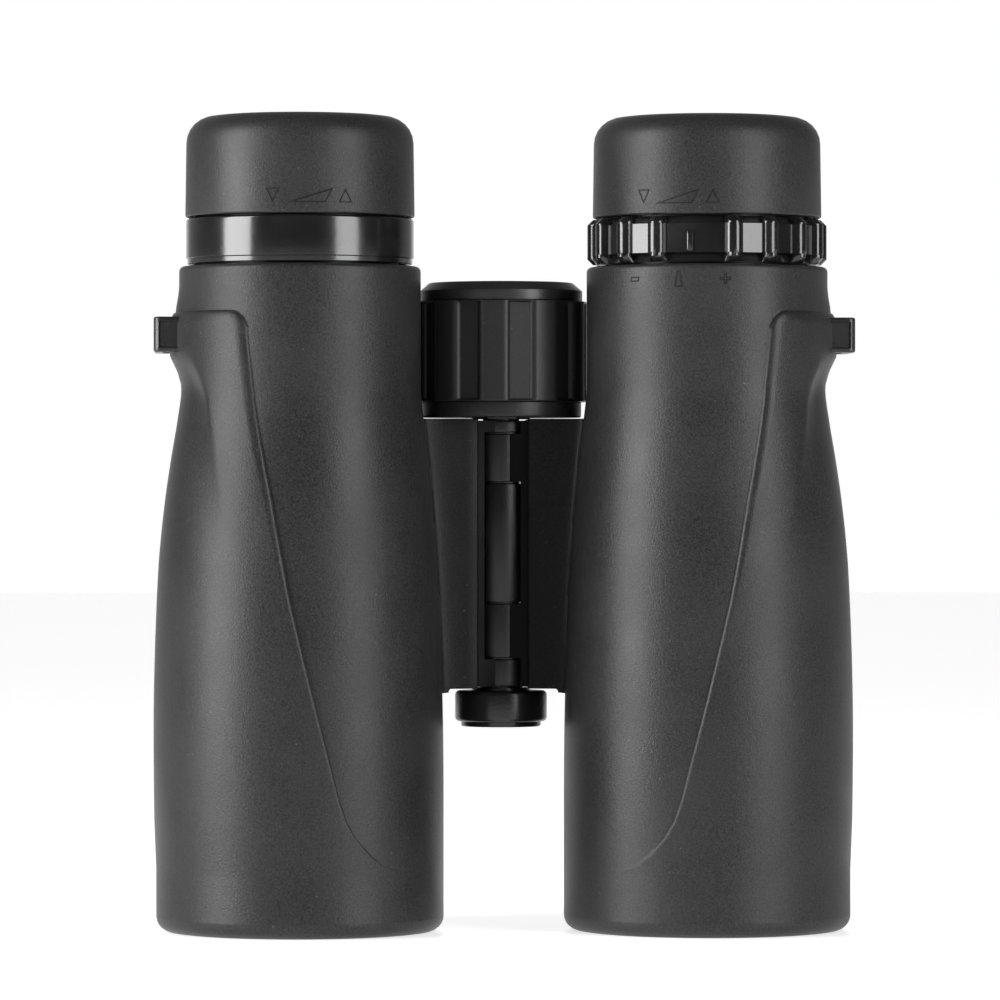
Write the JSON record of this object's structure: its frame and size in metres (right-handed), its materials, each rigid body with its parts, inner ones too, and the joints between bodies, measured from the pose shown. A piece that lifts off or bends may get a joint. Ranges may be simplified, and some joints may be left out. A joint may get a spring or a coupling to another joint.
{
  "type": "binoculars",
  "caption": "Roof-prism binoculars with rubber-armoured barrels, folding bridge, central focusing wheel, dioptre ring, twist-up eyecups and strap lugs",
  "frame": {"origin": "on the floor under the middle of the object, which stands on its two objective rims", "axes": "+Z along the barrels towards the eyepieces, +Y towards the top side of the instrument, -Y towards its underside, +X towards the user's right barrel"},
  "size_m": [0.1252, 0.0523, 0.1455],
  "materials": {
    "armour_rubber": "matte dark grey rubber with a fine speckled grain",
    "eyecup_rubber": "smooth matte black rubber",
    "wheel_rubber": "satin black rubber",
    "die_casting": "satin black paint on a magnesium casting",
    "black_metal": "matte black anodised aluminium",
    "gloss_plastic": "glossy black moulded plastic",
    "satin_plastic": "satin black moulded plastic",
    "steel": "turned steel",
    "brass": "turned brass",
    "coated_glass": "polished glass with a green anti-reflection coating"
  },
  "bodies": {
    "right_half": {"right_housing": "die_casting", "right_armour": "armour_rubber", "right_objective_cell": "black_metal", "right_objective_ring": "black_metal", "right_objective_crown": "coated_glass", "right_objective_flint": "coated_glass", "right_prism_cage": "black_metal", "right_half_penta_prism": "coated_glass", "right_roof_prism": "coated_glass", "right_eyepiece_tube": "black_metal", "right_strap_lug": "satin_plastic", "right_lug_screw": "steel", "hinge_axle": "steel", "hinge_tension_nut": "steel", "hinge_cover": "satin_plastic", "wheel_circlip": "steel"},
    "left_half": {"left_housing": "die_casting", "left_armour": "armour_rubber", "left_objective_cell": "black_metal", "left_objective_ring": "black_metal", "left_objective_crown": "coated_glass", "left_objective_flint": "coated_glass", "left_prism_cage": "black_metal", "left_half_penta_prism": "coated_glass", "left_roof_prism": "coated_glass", "left_eyepiece_tube": "black_metal", "left_strap_lug": "satin_plastic", "left_lug_screw": "steel", "left_ocular_cell": "satin_plastic", "left_field_lens": "coated_glass", "left_eye_lens": "coated_glass", "left_eye_lens_ring": "black_metal", "left_trim_ring": "gloss_plastic"},
    "focus_wheel": {"focus_wheel_core": "satin_plastic", "focus_wheel_grip": "wheel_rubber", "focus_wheel_disc": "satin_plastic"},
    "focus_rod": {"focus_rod": "brass"},
    "right_focus_carriage": {"right_focus_cell": "black_metal", "right_focus_lens": "coated_glass", "right_focus_arm": "brass"},
    "left_focus_carriage": {"left_focus_cell": "black_metal", "left_focus_lens": "coated_glass", "left_focus_arm": "brass"},
    "right_detent": {"right_detent_ring": "satin_plastic"},
    "left_detent": {"left_detent_ring": "satin_plastic"},
    "right_eyecup": {"right_eyecup_sleeve": "satin_plastic", "right_eyecup_cover": "eyecup_rubber"},
    "left_eyecup": {"left_eyecup_sleeve": "satin_plastic", "left_eyecup_cover": "eyecup_rubber"},
    "dioptre": {"right_dioptre_ring": "gloss_plastic"},
    "right_ocular": {"right_ocular_cell": "satin_plastic", "right_field_lens": "coated_glass", "right_eye_lens": "coated_glass", "right_eye_lens_ring": "black_metal"},
    "socket_cap": {"tripod_socket_cap": "satin_plastic"}
  },
  "joints": [
    {"name": "bridge_fold", "type": "hinge", "parent": "right_half", "child": "left_half", "pos_m": [0, 0.0108, 0], "axis": [0, 0, 1], "range_deg": [0, 52]},
    {"name": "focus_turn", "type": "hinge", "parent": "right_half", "child": "focus_wheel", "pos_m": [0, 0.0108, 0], "axis": [0, 0, 1], "range_deg": [-225, 225]},
    {"name": "focus_rod_slide", "type": "slide", "parent": "right_half", "child": "focus_rod", "axis": [0, 0, 1], "range_m": [-0.00251, 0.00251]},
    {"name": "right_focus_slide", "type": "slide", "parent": "right_half", "child": "right_focus_carriage", "axis": [0, 0, 1], "range_m": [-0.00251, 0.00251]},
    {"name": "left_focus_slide", "type": "slide", "parent": "left_half", "child": "left_focus_carriage", "axis": [0, 0, 1], "range_m": [-0.00251, 0.00251]},
    {"name": "right_eyecup_turn", "type": "hinge", "parent": "right_half", "child": "right_detent", "pos_m": [0.0365, 0, 0], "axis": [0, 0, 1], "range_deg": [0, 140]},
    {"name": "right_eyecup_rise", "type": "slide", "parent": "right_detent", "child": "right_eyecup", "axis": [0, 0, 1], "range_m": [-0.00002, 0.00902]},
    {"name": "left_eyecup_turn", "type": "hinge", "parent": "left_half", "child": "left_detent", "pos_m": [-0.0365, 0, 0], "axis": [0, 0, 1], "range_deg": [0, 140]},
    {"name": "left_eyecup_rise", "type": "slide", "parent": "left_detent", "child": "left_eyecup", "axis": [0, 0, 1], "range_m": [-0.00002, 0.00902]},
    {"name": "dioptre_turn", "type": "hinge", "parent": "right_half", "child": "dioptre", "pos_m": [0.0365, 0, 0], "axis": [0, 0, 1], "range_deg": [-45, 45]},
    {"name": "right_ocular_slide", "type": "slide", "parent": "right_half", "child": "right_ocular", "axis": [0, 0, 1], "range_m": [-0.00101, 0.00101]},
    {"name": "socket_cap_off", "type": "slide", "parent": "right_half", "child": "socket_cap", "axis": [0, 0, -1], "range_m": [0, 0.014]}
  ],
  "couplings": [
    {"joint": "focus_rod_slide", "follows": "focus_turn", "m_per_rad": 0.00063662},
    {"joint": "right_focus_slide", "follows": "focus_turn", "m_per_rad": 0.00063662},
    {"joint": "left_focus_slide", "follows": "focus_turn", "m_per_rad": 0.00063662},
    {"joint": "right_eyecup_rise", "follows": "right_eyecup_turn", "m_per_rad": 0.0036833},
    {"joint": "left_eyecup_rise", "follows": "left_eyecup_turn", "m_per_rad": 0.0036833},
    {"joint": "right_ocular_slide", "follows": "dioptre_turn", "m_per_rad": 0.0012732}
  ]
}
